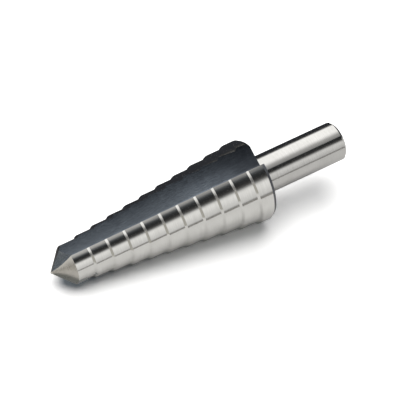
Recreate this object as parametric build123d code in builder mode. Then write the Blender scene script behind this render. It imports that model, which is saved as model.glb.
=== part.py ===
"""Step drill: a stepped cutting bit with two straight flutes, lying on a flat surface.

Eleven steps cut holes from 10 mm to 20 mm. The drill is modelled in the pose in which it comes
to rest: on the two edges of its lower flute, with the point low and the shank in the air.
"""

import os
from math import asin, cos, degrees, radians, sin, tan

from build123d import *

# ---------------------------------------------------------------- steps and point
STEP_COUNT = 11
SMALLEST_DIAMETER = 10.0
DIAMETER_RISE = 1.0
STEP_PITCH = 4.6
LAST_STEP_LENGTH = 4.75

# the point is 8.9 mm long with the first step, and falls away behind each lip
FRONT_LENGTH = 8.9
POINT_ANGLE = 93.0
POINT_RELIEF = 2.5

# each riser is a 45 degree cutting edge that falls back behind the rake face
RISER_HEIGHT = DIAMETER_RISE / 2
RISER_ANGLE = 90.0
RISER_RELIEF = 5.0
REAR_CHAMFER_HEIGHT = 0.5
REAR_CHAMFER_LENGTH = 0.8

# ---------------------------------------------------------------- relief
# the lands are ground round a centre set off to one side, so each land falls away behind its edge
RELIEF_OFFSET = 0.1
SPLIT_ANGLE = 28.0

# ---------------------------------------------------------------- flutes
# half the web between the two rake faces, and how far the flute's hollow wall stands from the axis
HALF_WEB = 1.1
WALL_AT_REAR = 6.73
WALL_MIDDLE = 5.5
WALL_HOLLOW_RADIUS = 45.0
FLUTE_LEAN = 6.4
FLUTE_ROOT_RADIUS = 0.6
FLUTE_REACH = 14.0

# the web is thinned at the point by a curved gash along each lip
GASH_RADIUS = 14.0
HALF_WEB_AT_POINT = 0.08
GASH_WALL_AT_POINT = 0.3
GASH_LEAN = 10.4

# ---------------------------------------------------------------- shank
SHANK_DIAMETER = 9.2
SHANK_LENGTH = 22.6
SHANK_CHAMFER = 0.6
SHANK_ROOT_RADIUS = 0.5

# ---------------------------------------------------------------- rest pose
# turn of the drill about its own axis, dip of its point, and where the rear face's centre stands
ROLL = 59.8
DIP = 5.42
REAR_CENTRE = (15.964, 0.0, 9.532)

# ---------------------------------------------------------------- derived lengths
largest_radius = SMALLEST_DIAMETER / 2 + RISER_HEIGHT * (STEP_COUNT - 1)
tip_height = LAST_STEP_LENGTH + STEP_PITCH * (STEP_COUNT - 2) + FRONT_LENGTH

# the drill's own frame: local X along a rake face, local Z along the axis towards the point
tip_direction = Vector(-1, 0, 0).rotate(Axis.Y, -DIP)
rake_direction = Vector(0, -1, 0).rotate(Axis((0, 0, 0), tip_direction), ROLL)
drill_frame = Plane(origin=REAR_CENTRE, x_dir=rake_direction, z_dir=tip_direction)


def in_drill(origin, x_dir, z_dir):
    """A plane given in the drill's own frame, placed in the part's frame."""
    start = drill_frame.from_local_coords(Vector(*origin))
    across = drill_frame.from_local_coords(Vector(*x_dir)) - drill_frame.origin
    normal = drill_frame.from_local_coords(Vector(*z_dir)) - drill_frame.origin
    return Plane(origin=start, x_dir=across, z_dir=normal)


def turned(vector, angle):
    """A vector of the drill's frame turned about the drill's axis."""
    return Vector(*vector).rotate(Axis.Z, angle)


def turn_to_edge(nominal):
    """Cosine of the turn from the split plane to the cutting edge at a nominal radius."""
    return cos(radians(SPLIT_ANGLE - degrees(asin(HALF_WEB / nominal))))


def grind_front(side, height, radius, angle, relief):
    """Grind half a cone of the given full angle, tilted so that it falls back behind its edge."""
    tilt = radians(relief)
    forward = Vector(0, 0, cos(tilt)) + side * sin(tilt)
    outward = side * cos(tilt) - Vector(0, 0, sin(tilt))
    grinding_plane = in_drill((0, 0, height), outward, outward.cross(forward))
    slope = tan(radians(angle / 2))
    apex = radius / slope
    reach = tip_height
    with BuildSketch(grinding_plane) as front_profile:
        with BuildLine():
            Polyline([(0, apex), (reach, apex - reach / slope), (reach, reach), (0, reach)], close=True)
        make_face()
    tilted_axis = Axis(grinding_plane.origin, grinding_plane.y_dir)
    revolve(front_profile.sketch, axis=tilted_axis, revolution_arc=180, mode=Mode.SUBTRACT)


with BuildPart() as step_drill:
    # two half bodies, one for each land, each turned about its own offset centre
    for side_angle in (SPLIT_ANGLE, SPLIT_ANGLE + 180):
        side = turned((1, 0, 0), side_angle)
        profile_plane = in_drill(side * -RELIEF_OFFSET, side, side.cross(Vector(0, 0, 1)))
        land_axis = Axis(profile_plane.origin, profile_plane.y_dir)
        for step in range(STEP_COUNT):
            nominal = largest_radius - RISER_HEIGHT * step
            outer = nominal - RELIEF_OFFSET * turn_to_edge(nominal)
            is_front = step == STEP_COUNT - 1
            edge_height = tip_height if is_front else LAST_STEP_LENGTH + STEP_PITCH * step
            with BuildSketch(profile_plane):
                with BuildLine():
                    Polyline(
                        (0, 0),
                        (outer - REAR_CHAMFER_HEIGHT, 0) if step == 0 else (outer, 0),
                        (outer, REAR_CHAMFER_LENGTH),
                        (outer, edge_height + RISER_HEIGHT * 2),
                        (0, edge_height + RISER_HEIGHT * 2),
                        close=True,
                    )
                make_face()
            revolve(axis=land_axis, revolution_arc=180)
            # each riser stands at its own height at the cutting edge, where its tilt carries it forward
            if is_front:
                grind_front(side, tip_height, 0.0, POINT_ANGLE, POINT_RELIEF)
            else:
                lead = nominal * sin(radians(RISER_RELIEF)) * turn_to_edge(nominal)
                grind_front(
                    side, edge_height - lead, nominal - RISER_HEIGHT / 2, RISER_ANGLE, RISER_RELIEF
                )

    # the round shank, rounded into the rear face and chamfered at its end
    shank_plane = in_drill((0, 0, 0), (1, 0, 0), (0, 0, -1))
    with BuildSketch(shank_plane):
        Circle(SHANK_DIAMETER / 2)
    extrude(amount=SHANK_LENGTH)
    shank_end = step_drill.faces().sort_by(Axis(shank_plane.origin, shank_plane.z_dir))[-1]
    chamfer(shank_end.edges(), SHANK_CHAMFER)
    shank_root = (
        step_drill.edges()
        .filter_by(GeomType.CIRCLE)
        .filter_by(lambda edge: abs(edge.radius - SHANK_DIAMETER / 2) < SHANK_CHAMFER / 10)
        .sort_by(Axis(shank_plane.origin, shank_plane.z_dir))[0]
    )
    fillet(shank_root, SHANK_ROOT_RADIUS)

    # two straight flutes, each leaning so that it follows the taper of the steps
    lean = radians(FLUTE_LEAN)
    for half_turn in (0, 180):
        flute_plane = in_drill(
            turned((WALL_AT_REAR, 0, 0), half_turn),
            turned((1, 0, tan(lean)), half_turn),
            turned((-tan(lean), 0, 1), half_turn),
        )
        with BuildSketch(flute_plane) as flute_section:
            with Locations((WALL_HOLLOW_RADIUS, WALL_MIDDLE)):
                Circle(WALL_HOLLOW_RADIUS)
            with Locations((FLUTE_REACH / 2, HALF_WEB + FLUTE_REACH / 2)):
                Rectangle(FLUTE_REACH * 1.2, FLUTE_REACH, mode=Mode.INTERSECT)
            root_corner = flute_section.vertices().sort_by_distance((0, HALF_WEB, 0))[0]
            fillet(root_corner, FLUTE_ROOT_RADIUS)
        extrude(amount=tip_height + FLUTE_REACH, both=True, mode=Mode.SUBTRACT)

    # a curved gash along each lip thins the web towards the point
    gash_lean = radians(GASH_LEAN)
    for half_turn in (0, 180):
        gash_plane = in_drill(
            turned((GASH_WALL_AT_POINT, 0, tip_height), half_turn),
            turned((tan(gash_lean), 0, -1), half_turn),
            turned((1, 0, tan(gash_lean)), half_turn),
        )
        with BuildSketch(gash_plane):
            with Locations((0, HALF_WEB_AT_POINT + GASH_RADIUS)):
                Circle(GASH_RADIUS)
        extrude(amount=FLUTE_REACH, mode=Mode.SUBTRACT)

step_drill.part.label = "step_drill"

os.makedirs("parts", exist_ok=True)
export_step(step_drill.part, "parts/step_drill.step")
print("volume mm3", round(step_drill.part.volume, 1), "solids", len(step_drill.solids()))
print("box", step_drill.part.bounding_box())
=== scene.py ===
"""Step drill lying on a pale surface in soft studio light.

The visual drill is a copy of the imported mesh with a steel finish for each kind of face, and the
finishes follow the drill's own axis. Only reflections see the studio's bands and the cards, and
the values of both, like those of the finishes, were tuned until the render came near the photograph.
"""

from math import cos, pi, radians, sin

import bpy
import numpy as np
from mathutils import Matrix, Vector


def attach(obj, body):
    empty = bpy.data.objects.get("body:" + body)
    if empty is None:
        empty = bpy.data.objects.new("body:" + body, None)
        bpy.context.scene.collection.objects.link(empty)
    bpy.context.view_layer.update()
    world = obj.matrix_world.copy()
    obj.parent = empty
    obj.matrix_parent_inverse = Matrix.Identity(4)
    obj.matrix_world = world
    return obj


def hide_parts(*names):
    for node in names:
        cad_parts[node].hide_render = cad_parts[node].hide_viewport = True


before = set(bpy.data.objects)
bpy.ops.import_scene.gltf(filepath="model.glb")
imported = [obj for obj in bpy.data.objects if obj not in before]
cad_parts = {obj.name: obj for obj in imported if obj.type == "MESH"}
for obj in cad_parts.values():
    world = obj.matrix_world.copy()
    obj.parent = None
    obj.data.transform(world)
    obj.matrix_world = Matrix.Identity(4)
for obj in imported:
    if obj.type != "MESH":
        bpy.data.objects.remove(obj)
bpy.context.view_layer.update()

MM = 0.001

# ---------------------------------------------------------------- the drill's own frame, in metres
ROLL = radians(59.8)
DIP = radians(5.42)
REAR_CENTRE = Vector((15.964, 0.0, 9.532)) * MM
TO_TIP = Vector((-cos(DIP), 0, -sin(DIP)))
ALONG_RAKE = Matrix.Rotation(ROLL, 3, TO_TIP) @ Vector((0, -1, 0))
ACROSS_RAKE = TO_TIP.cross(ALONG_RAKE)

# distances from the rear face at which one finish gives way to another
SHANK_ROOT = 0.5 * MM
REAR_CHAMFER = 0.8 * MM
POINT_START = 49.0 * MM

# the lands lie outside this radius at the rear face, and it falls by the taper towards the tip
LAND_INSIDE = 8.2 * MM
LAND_TAPER = 0.11

# lean of the flat wall that each gash leaves
GASH_LEAN = radians(10.4)

# how squarely a face looks in a direction, as the cosine of the angle between them
FACES_FORWARD = 0.45
FACES_OUTWARD = 0.99
FLAT_REAR = 0.95
GASH_WALL = 0.9996
ROOT_CURVE = 0.25

# ---------------------------------------------------------------- finishes
# dark and light tone, then least and greatest roughness
BRIGHT = ((0.73, 0.72, 0.685, 1), (0.83, 0.82, 0.785, 1), 0.08, 0.13)
SHANK = ((0.58, 0.57, 0.545, 1), (0.68, 0.67, 0.645, 1), 0.11, 0.18)
# the dark finish of the rear chamfer and of the shank's rounded root
REAR_DARK = ((0.085, 0.09, 0.10, 1), (0.12, 0.125, 0.135, 1), 0.28, 0.36)
POINT = ((0.53, 0.505, 0.455, 1), (0.63, 0.60, 0.545, 1), 0.26, 0.32)

# dark and light tone at the rear end, darkened by painted shade, then the flute's own tones further
# forward
FLUTE_TONE_AND_SHADE = (
    (0.11, 0.122, 0.145, 1),
    (0.16, 0.178, 0.205, 1),
    (0.26, 0.296, 0.34, 1),
    (0.36, 0.405, 0.455, 1),
)
# the same all along
GASH = ((0.74, 0.82, 0.87, 1), (0.85, 0.91, 0.94, 1)) * 2
# painted shade: the flute's tones darkened for the rounded root, and darker still at the rear end, as in
# the flute
FLUTE_ROOT_SHADED = (
    (0.05, 0.055, 0.065, 1),
    (0.07, 0.077, 0.09, 1),
    (0.11, 0.122, 0.138, 1),
    (0.15, 0.165, 0.185, 1),
)
FLUTE_ROUGHNESS = (0.18, 0.25)

# the range that a noise value mostly keeps to
NOISE_LOW = 0.3
NOISE_HIGH = 0.7
# share of the fine marks in a tone, where the rest is a soft cloud
MARKS_SHARE = 0.6

# grinding marks per millimetre along the axis and per radian round it
GRINDING_ALONG = 9.0
GRINDING_ROUND = 1.3
GRINDING_STRENGTH = 0.25
GRINDING_DEPTH = 0.00002
# broad bands of wear, per millimetre and per radian, in a part of the noise of their own
WEAR_ALONG = 1.2
WEAR_ROUND = 2.0
WEAR_PLACE = 3.0
STEEL_CLOUD = 0.35

# fine lines per millimetre across the flute and along it
LINES_ACROSS = 7.0
LINES_ALONG = 0.12
LINES_STRENGTH = 0.3
LINES_DEPTH = 0.00003
FLUTE_CLOUD = 0.3

# millimetres from the rear face over which the painted shade at the rear of the flute fades out
FLUTE_SHADE_CHANGE = (1.0, 17.0)
# millimetres from the rake plane at which the painted sheen beside the root ends and is full
ROOT_SHEEN = (8.0, 1.5)
# millimetres from the rear face between which that painted sheen comes in, and goes out again
SHEEN_START = (3.0, 9.0)
SHEEN_END = (25.0, 13.0)
# the flute's gain away from the painted sheen and in its middle
SHEEN_GAIN = (1.04, 1.48)

# ---------------------------------------------------------------- surroundings
FLOOR_REACH = 4.0
# the floor's colour as the camera sees it, and as light and reflections find it
FLOOR_WHITE = 1.56
FLOOR_GREY = 0.66
# share of the floor's white that reflections see
MIRRORED_SHARE = 0.05

# the cards lie this far above the floor
CARD_HEIGHT = 0.0006
CARD_REACH = 1.5
# name, profile in Y and Z, colour, and the ends in X
CARDS = [
    (
        "back_card",
        [(0.012, CARD_HEIGHT), (0.30, CARD_HEIGHT), (0.42, 0.095)],
        (0.030, 0.032, 0.038, 1),
        (-CARD_REACH, CARD_REACH),
    ),
    (
        "front_gap",
        [(-3.9, CARD_HEIGHT), (-0.16, CARD_HEIGHT)],
        (0.26, 0.25, 0.235, 1),
        (-CARD_REACH, CARD_REACH),
    ),
    (
        "side_gap",
        [(-0.16, CARD_HEIGHT), (0.012, CARD_HEIGHT)],
        (0.44, 0.43, 0.40, 1),
        (-CARD_REACH, -0.062),
    ),
    (
        "side_gap_front",
        [(-0.16, CARD_HEIGHT), (-0.0135, CARD_HEIGHT)],
        (0.44, 0.43, 0.40, 1),
        (-0.062, -0.030),
    ),
    # the tip_shade cards are painted shadow: grey sheets under the point that stand in for the drill's
    # shadow on the floor, as reflections see it
    (
        "tip_shade_outer",
        [(-0.006, CARD_HEIGHT), (0.012, CARD_HEIGHT)],
        (0.38, 0.38, 0.37, 1),
        (-0.0500, -0.0445),
    ),
    (
        "tip_shade",
        [(-0.006, CARD_HEIGHT), (0.012, CARD_HEIGHT)],
        (0.28, 0.285, 0.28, 1),
        (-0.0445, -0.0405),
    ),
    (
        "tip_shade_inner",
        [(-0.006, CARD_HEIGHT), (0.012, CARD_HEIGHT)],
        (0.20, 0.21, 0.21, 1),
        (-0.0405, -0.030),
    ),
]

NEUTRAL = (1, 1, 1)
COOL = (0.93, 0.98, 1.05)
# brightness and tint of the studio by the turn about the X axis, in degrees: 0 is the horizon in
# front of the drill, 90 straight up and 180 the horizon behind it
BANDS = [
    (0.0, 0.27, NEUTRAL),
    (2.5, 0.27, NEUTRAL),
    (4, 0.62, NEUTRAL),
    (8, 0.68, NEUTRAL),
    (14, 0.72, NEUTRAL),
    (25, 0.84, NEUTRAL),
    (33, 0.89, NEUTRAL),
    (37, 0.80, NEUTRAL),
    (39.5, 0.64, NEUTRAL),
    (42.5, 0.31, NEUTRAL),
    (45.5, 0.13, NEUTRAL),
    (49, 0.058, NEUTRAL),
    (53, 0.032, NEUTRAL),
    (57.5, 0.026, COOL),
    (62, 0.036, COOL),
    (66, 0.064, COOL),
    (70, 0.150, COOL),
    (74, 0.30, NEUTRAL),
    (77, 0.42, NEUTRAL),
    (80, 0.48, NEUTRAL),
    (85, 0.54, NEUTRAL),
    (91, 0.80, NEUTRAL),
    (98, 1.15, NEUTRAL),
    (106, 1.38, NEUTRAL),
    (150, 1.42, NEUTRAL),
    (154, 0.8, NEUTRAL),
    (158, 0.25, NEUTRAL),
    (162, 0.06, NEUTRAL),
    (172, 0.04, NEUTRAL),
    (180, 0.04, NEUTRAL),
]
# what lies beyond the point, by the sine of the height above the horizon
SIDE = [
    (0.0, 0.38, NEUTRAL),
    (0.03, 0.20, NEUTRAL),
    (0.055, 0.12, NEUTRAL),
    (0.08, 0.14, NEUTRAL),
    (0.10, 0.35, NEUTRAL),
    (0.13, 0.75, NEUTRAL),
    (0.16, 1.05, NEUTRAL),
    (0.22, 1.2, NEUTRAL),
]
HALF_TURN = 180
# how far towards -X a ray looks where SIDE comes in, and where it has taken over
BEYOND = (0.66, 0.84)
STUDIO_PEAK = 1.8
FILL = (0.090, 0.099, 0.108, 1)

KEY_DIRECTION = Vector((0.0, 0.32, 1.0))
KEY_ANGLE = radians(78)
KEY_ENERGY = 3.0
KEY_COLOUR = (1.0, 0.985, 0.97)

# ---------------------------------------------------------------- camera
CAMERA_PLACE = Vector((-1691.227, -2084.825, 2690.105)) * MM
CAMERA_RIGHT = Vector((0.83380335, -0.54200391, 0.10489869))
CAMERA_UP = Vector((0.32528729, 0.63587001, 0.69989821))
CAMERA_BACK = Vector((-0.4460495, -0.54945526, 0.70649753))
LENS = 1500.0
SENSOR_WIDTH = 36.0
CLIP_START = 0.1
CLIP_END = 30.0


# ---------------------------------------------------------------- node helpers
class Nodes:
    """Short calls for building a node tree."""

    def __init__(self, tree):
        self.tree = tree
        self.tree.nodes.clear()

    def add(self, kind, inputs=None, **settings):
        """A node with its settings, its values and the sockets that feed it."""
        node = self.tree.nodes.new(kind)
        for name, value in settings.items():
            setattr(node, name, value)
        for name, value in (inputs or {}).items():
            self.feed(node.inputs[name], value)
        return node

    def feed(self, socket, value):
        """Sets a socket, or links it where the value is a socket itself."""
        if isinstance(value, bpy.types.NodeSocket):
            self.tree.links.new(value, socket)
        else:
            socket.default_value = value

    def math(self, operation, first, second=0.0, clamp=False):
        node = self.add("ShaderNodeMath", {0: first, 1: second}, operation=operation, use_clamp=clamp)
        return node.outputs[0]

    def weighted(self, first, share, second):
        """Two values added up, with the given share of the first."""
        kept = self.math("MULTIPLY", first, share)
        rest = self.math("MULTIPLY", second, 1 - share)
        return self.math("ADD", kept, rest)

    def vector(self, operation, first, second):
        node = self.add("ShaderNodeVectorMath", {0: first, 1: second}, operation=operation)
        return node.outputs["Value" if operation == "DOT_PRODUCT" else "Vector"]

    def scale(self, vector, factor):
        node = self.add("ShaderNodeVectorMath", {0: vector, "Scale": factor}, operation="SCALE")
        return node.outputs[0]

    def range(self, value, source, target=(0.0, 1.0), kind="SMOOTHSTEP"):
        """A value carried from one range to another, and held at its ends."""
        values = {
            "Value": value,
            "From Min": source[0],
            "From Max": source[1],
            "To Min": target[0],
            "To Max": target[1],
        }
        return self.add("ShaderNodeMapRange", values, interpolation_type=kind).outputs["Result"]

    def noise(self, vector, scale, detail=2.0, roughness=0.5):
        values = {"Vector": vector, "Scale": scale, "Detail": detail, "Roughness": roughness}
        return self.add("ShaderNodeTexNoise", values).outputs["Fac"]

    def combine(self, x, y, z):
        return self.add("ShaderNodeCombineXYZ", {0: x, 1: y, 2: z}).outputs[0]

    def mix_colour(self, factor, first, second):
        # a colour mix has its factor, colours and result at these places
        node = self.add("ShaderNodeMix", {0: factor}, data_type="RGBA")
        self.feed(node.inputs[6], first)
        self.feed(node.inputs[7], second)
        return node.outputs[2]

    def ramp(self, factor, stops):
        """A linear ramp through the stops, each a position and a colour."""
        node = self.add("ShaderNodeValToRGB", {"Fac": factor})
        band = node.color_ramp
        band.interpolation = "LINEAR"
        while len(band.elements) > 1:
            band.elements.remove(band.elements[-1])
        band.elements[0].position = stops[0][0]
        band.elements[0].color = stops[0][1]
        for position, colour in stops[1:]:
            band.elements.new(position).color = colour
        return node.outputs["Color"]

    def mirrored(self, path):
        """1 for the rays of reflections and of light passing through, and 0 for the others."""
        return self.math("MAXIMUM", path.outputs["Is Glossy Ray"], path.outputs["Is Transmission Ray"])


def new_material(name):
    """An empty material, its nodes and its output."""
    material = bpy.data.materials.new(name)
    material.use_nodes = True
    nodes = Nodes(material.node_tree)
    output = nodes.add("ShaderNodeOutputMaterial")
    return material, nodes, output


def new_object(name, mesh):
    """An object in the scene that shows the mesh."""
    made = bpy.data.objects.new(name, mesh)
    bpy.context.scene.collection.objects.link(made)
    return made


# ---------------------------------------------------------------- steel
def drill_coordinates(nodes):
    """Millimetres along the rake face, across it, and from the rear face towards the tip."""
    place = nodes.add("ShaderNodeTexCoord").outputs["Object"]
    offset = nodes.vector("SUBTRACT", place, REAR_CENTRE)
    return [nodes.vector("DOT_PRODUCT", offset, way / MM) for way in (ALONG_RAKE, ACROSS_RAKE, TO_TIP)]


def finish_steel(nodes, output, colour, roughness, marks, strength, depth):
    """Gives a material a metal surface with its marks in relief."""
    bump = nodes.add("ShaderNodeBump", {"Strength": strength, "Distance": depth, "Height": marks})
    shader = nodes.add(
        "ShaderNodeBsdfPrincipled",
        {"Base Color": colour, "Metallic": 1.0, "Roughness": roughness, "Normal": bump.outputs[0]},
    )
    nodes.tree.links.new(shader.outputs[0], output.inputs["Surface"])


def ground_steel(name, dark, light, smooth, rough):
    """Steel ground round the axis, for the lands, risers, point, shank and rear."""
    material, nodes, output = new_material(name)
    x, y, z = drill_coordinates(nodes)
    angle = nodes.math("ARCTAN2", y, x)
    # the marks run round the drill: fine along the axis, long round it
    marks_along = nodes.math("MULTIPLY", z, GRINDING_ALONG)
    marks_round = nodes.math("MULTIPLY", angle, GRINDING_ROUND)
    marks = nodes.noise(nodes.combine(marks_along, marks_round, 0.0), 1.0, 4.0, 0.6)
    wear_along = nodes.math("MULTIPLY", z, WEAR_ALONG)
    wear_round = nodes.math("MULTIPLY", angle, WEAR_ROUND)
    broad = nodes.noise(nodes.combine(wear_along, wear_round, WEAR_PLACE), 1.0)
    cloud = nodes.noise(nodes.combine(x, y, z), STEEL_CLOUD)
    tone = nodes.range(nodes.weighted(marks, MARKS_SHARE, cloud), (NOISE_LOW, NOISE_HIGH))
    colour = nodes.mix_colour(tone, dark, light)
    wear = nodes.weighted(marks, 0.5, broad)
    roughness = nodes.range(wear, (NOISE_LOW, NOISE_HIGH), (smooth, rough))
    finish_steel(nodes, output, colour, roughness, marks, GRINDING_STRENGTH, GRINDING_DEPTH)
    return material


def flute_steel(name, rear_dark, rear_light, front_dark, front_light):
    """Satin steel of the flutes and gashes, with fine lines along the drill, painted shade at the rear and
    painted sheen by the root.
    """
    material, nodes, output = new_material(name)
    x, y, z = drill_coordinates(nodes)
    line_x = nodes.math("MULTIPLY", x, LINES_ACROSS)
    line_y = nodes.math("MULTIPLY", y, LINES_ACROSS)
    line_z = nodes.math("MULTIPLY", z, LINES_ALONG)
    lines = nodes.noise(nodes.combine(line_x, line_y, line_z), 1.0, 3.0, 0.6)
    cloud = nodes.noise(nodes.combine(x, y, z), FLUTE_CLOUD)
    tone = nodes.range(nodes.weighted(lines, MARKS_SHARE, cloud), (NOISE_LOW, NOISE_HIGH))
    # painted shade: darker at the rear end of the flute
    front = nodes.range(z, FLUTE_SHADE_CHANGE, kind="LINEAR")
    dark = nodes.mix_colour(front, rear_dark, front_dark)
    light = nodes.mix_colour(front, rear_light, front_light)
    ground = nodes.mix_colour(tone, dark, light)
    # and a painted sheen: brighter beside its root, in the middle of its length
    sheen_beside_root = nodes.range(nodes.math("ABSOLUTE", y), ROOT_SHEEN)
    middle = nodes.math("MULTIPLY", nodes.range(z, SHEEN_START), nodes.range(z, SHEEN_END))
    bright = nodes.math("MULTIPLY", sheen_beside_root, middle)
    colour = nodes.scale(ground, nodes.range(bright, (0.0, 1.0), SHEEN_GAIN, kind="LINEAR"))
    roughness = nodes.range(lines, (NOISE_LOW, NOISE_HIGH), FLUTE_ROUGHNESS)
    finish_steel(nodes, output, colour, roughness, lines, LINES_STRENGTH, LINES_DEPTH)
    return material


# ---------------------------------------------------------------- the drill
def finish_of_faces(mesh, names):
    """The place of each face's finish in the list of names."""
    count = len(mesh.polygons)
    centres = np.empty(count * 3)
    normals = np.empty(count * 3)
    mesh.polygons.foreach_get("center", centres)
    mesh.polygons.foreach_get("normal", normals)
    offsets = centres.reshape(-1, 3) - np.array(REAR_CENTRE)
    normals = normals.reshape(-1, 3)
    axis = np.array(TO_TIP)
    along_rake = np.array(ALONG_RAKE)
    across_rake = np.array(ACROSS_RAKE)
    height = offsets @ axis
    radial = offsets - height[:, None] * axis
    radius = np.linalg.norm(radial, axis=1)
    outward = np.sum(normals * radial, axis=1) / np.maximum(radius, 1e-9)
    forward = normals @ axis

    # the rear takes in its chamfer and the rounded root of the shank, which get the dark rear finish
    near_rear = (height > -SHANK_ROOT) & (height < REAR_CHAMFER)
    on_rear = near_rear & ((forward < -FACES_FORWARD) | (height < 0))
    on_rear_face = on_rear & (forward < -FLAT_REAR)
    on_shank = (height < 0) & ~on_rear
    on_front = (forward > FACES_FORWARD) & (height > 0)
    on_point = on_front & (height > POINT_START)
    # the lands face straight outward, and stand well outside the roots of the flutes
    on_land = (outward > FACES_OUTWARD) & (radius > LAND_INSIDE - LAND_TAPER * height)
    in_flute = ~(on_land | on_rear | on_shank | on_front)
    # the gash of each flute leaves one flat wall
    gash_walls = [turn * along_rake * cos(GASH_LEAN) + axis * sin(GASH_LEAN) for turn in (1, -1)]
    facing_gash = np.maximum(*[np.abs(normals @ wall) for wall in gash_walls])
    in_gash = in_flute & (facing_gash > GASH_WALL)
    # the rounded root turns from the wall to the rake face, and is darkened by painted shade
    facing_wall = np.abs(normals @ along_rake)
    facing_rake = np.abs(normals @ across_rake)
    in_shaded_root = in_flute & (facing_wall > ROOT_CURVE) & (facing_rake > ROOT_CURVE)

    # the first that holds for a face is its finish, and what is left is the lands and risers
    finishes = {
        "gash": in_gash,
        "root": in_shaded_root,
        "flute": in_flute,
        "shank": on_shank | on_rear_face,
        "turned": on_rear,
        "point": on_point,
    }
    places = [names.index(name) for name in finishes]
    return np.select(list(finishes.values()), places, default=names.index("bright"))


materials = {
    "bright": ground_steel("ground_steel_bright", *BRIGHT),
    "flute": flute_steel("ground_steel_flute", *FLUTE_TONE_AND_SHADE),
    "shank": ground_steel("ground_steel_shank", *SHANK),
    "turned": ground_steel("ground_steel_rear_dark", *REAR_DARK),
    "point": ground_steel("ground_steel_point", *POINT),
    "gash": flute_steel("ground_steel_gash", *GASH),
    "root": flute_steel("ground_steel_root_shaded", *FLUTE_ROOT_SHADED),
}
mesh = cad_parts["step_drill"].data.copy()
mesh.name = "step_drill_ground"
mesh.materials.clear()
for material in materials.values():
    mesh.materials.append(material)
face_finishes = finish_of_faces(mesh, list(materials))
mesh.polygons.foreach_set("material_index", face_finishes.astype(np.int32))
mesh.update()
drill = new_object("step_drill_ground", mesh)
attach(drill, "root")
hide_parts("step_drill")

# ---------------------------------------------------------------- floor
floor_mesh = bpy.data.meshes.new("floor")
floor_corners = [(x * FLOOR_REACH, y * FLOOR_REACH, 0) for x, y in ((-1, -1), (1, -1), (1, 1), (-1, 1))]
floor_mesh.from_pydata(floor_corners, [], [(0, 1, 2, 3)])
floor = new_object("floor", floor_mesh)
floor_material, nodes, output = new_material("floor")
path = nodes.add("ShaderNodeLightPath")
glimpsed = nodes.math("MULTIPLY", nodes.mirrored(path), MIRRORED_SHARE)
seen = nodes.math("MAXIMUM", path.outputs["Is Camera Ray"], glimpsed)
paper = nodes.mix_colour(seen, (FLOOR_GREY,) * 3 + (1,), (FLOOR_WHITE,) * 3 + (1,))
diffuse = nodes.add("ShaderNodeBsdfDiffuse", {"Color": paper})
nodes.tree.links.new(diffuse.outputs[0], output.inputs["Surface"])
floor_mesh.materials.append(floor_material)


# ---------------------------------------------------------------- cards, which only reflections see
def reflected_card(name, profile, colour, ends):
    """A card with its profile in Y and Z, drawn out between its ends in X."""
    card_mesh = bpy.data.meshes.new(name)
    count = len(profile)
    corners = [(end, y, z) for end in ends for y, z in profile]
    faces = [(i, i + 1, i + 1 + count, i + count) for i in range(count - 1)]
    card_mesh.from_pydata(corners, [], faces)
    card = new_object(name, card_mesh)
    card_material, nodes, output = new_material(name)
    shine = nodes.add("ShaderNodeEmission", {"Color": colour, "Strength": 1.0})
    nodes.tree.links.new(shine.outputs[0], output.inputs["Surface"])
    card_mesh.materials.append(card_material)
    card.visible_camera = False
    card.visible_diffuse = False
    card.visible_shadow = False
    card.visible_transmission = False


for card_values in CARDS:
    reflected_card(*card_values)


# ---------------------------------------------------------------- studio light
def studio_ramp(nodes, factor, stops, span):
    """A ramp of the stops' brightness and tint, as a share of the studio's peak."""
    shares = []
    for position, brightness, tint in stops:
        colour = tuple(brightness * channel / STUDIO_PEAK for channel in tint)
        shares.append((position / span, colour + (1,)))
    return nodes.ramp(factor, shares)


world = bpy.data.worlds.new("studio")
bpy.context.scene.world = world
world.use_nodes = True
world.cycles.sampling_method = "NONE"
nodes = Nodes(world.node_tree)
output = nodes.add("ShaderNodeOutputWorld")
ray = nodes.add("ShaderNodeTexCoord").outputs["Generated"]
parts = nodes.add("ShaderNodeSeparateXYZ", {0: ray})
towards_front = nodes.math("MULTIPLY", parts.outputs["Y"], -1.0)
towards_point = nodes.math("MULTIPLY", parts.outputs["X"], -1.0)
turn = nodes.math("ARCTAN2", parts.outputs["Z"], towards_front)
share = nodes.math("DIVIDE", turn, pi, clamp=True)
bands = studio_ramp(nodes, share, BANDS, HALF_TURN)
side = studio_ramp(nodes, parts.outputs["Z"], SIDE, 1)
reflected = nodes.mix_colour(nodes.range(towards_point, BEYOND), bands, side)
path = nodes.add("ShaderNodeLightPath")
studio = nodes.add("ShaderNodeBackground", {"Color": reflected, "Strength": STUDIO_PEAK})
fill = nodes.add("ShaderNodeBackground", {"Color": FILL, "Strength": 1.0})
white = nodes.add("ShaderNodeBackground", {"Color": (1, 1, 1, 1), "Strength": 1.0})
lit = nodes.add("ShaderNodeMixShader", {0: nodes.mirrored(path), 1: fill.outputs[0], 2: studio.outputs[0]})
on_camera = path.outputs["Is Camera Ray"]
choice = nodes.add("ShaderNodeMixShader", {0: on_camera, 1: lit.outputs[0], 2: white.outputs[0]})
nodes.tree.links.new(choice.outputs[0], output.inputs["Surface"])

key_data = bpy.data.lights.new("key", "SUN")
key_data.angle = KEY_ANGLE
key_data.energy = KEY_ENERGY
key_data.color = KEY_COLOUR
key = new_object("key", key_data)
key.rotation_euler = (-KEY_DIRECTION).to_track_quat("-Z", "Y").to_euler()
key.visible_glossy = False

# ---------------------------------------------------------------- camera
camera_data = bpy.data.cameras.new("camera")
camera_data.lens = LENS
camera_data.sensor_width = SENSOR_WIDTH
camera_data.clip_start = CLIP_START
camera_data.clip_end = CLIP_END
camera = new_object("camera", camera_data)
camera_matrix = Matrix((CAMERA_RIGHT, CAMERA_UP, CAMERA_BACK)).transposed().to_4x4()
camera_matrix.translation = CAMERA_PLACE
camera.matrix_world = camera_matrix
bpy.context.scene.camera = camera

bpy.context.scene.view_settings.view_transform = "Standard"
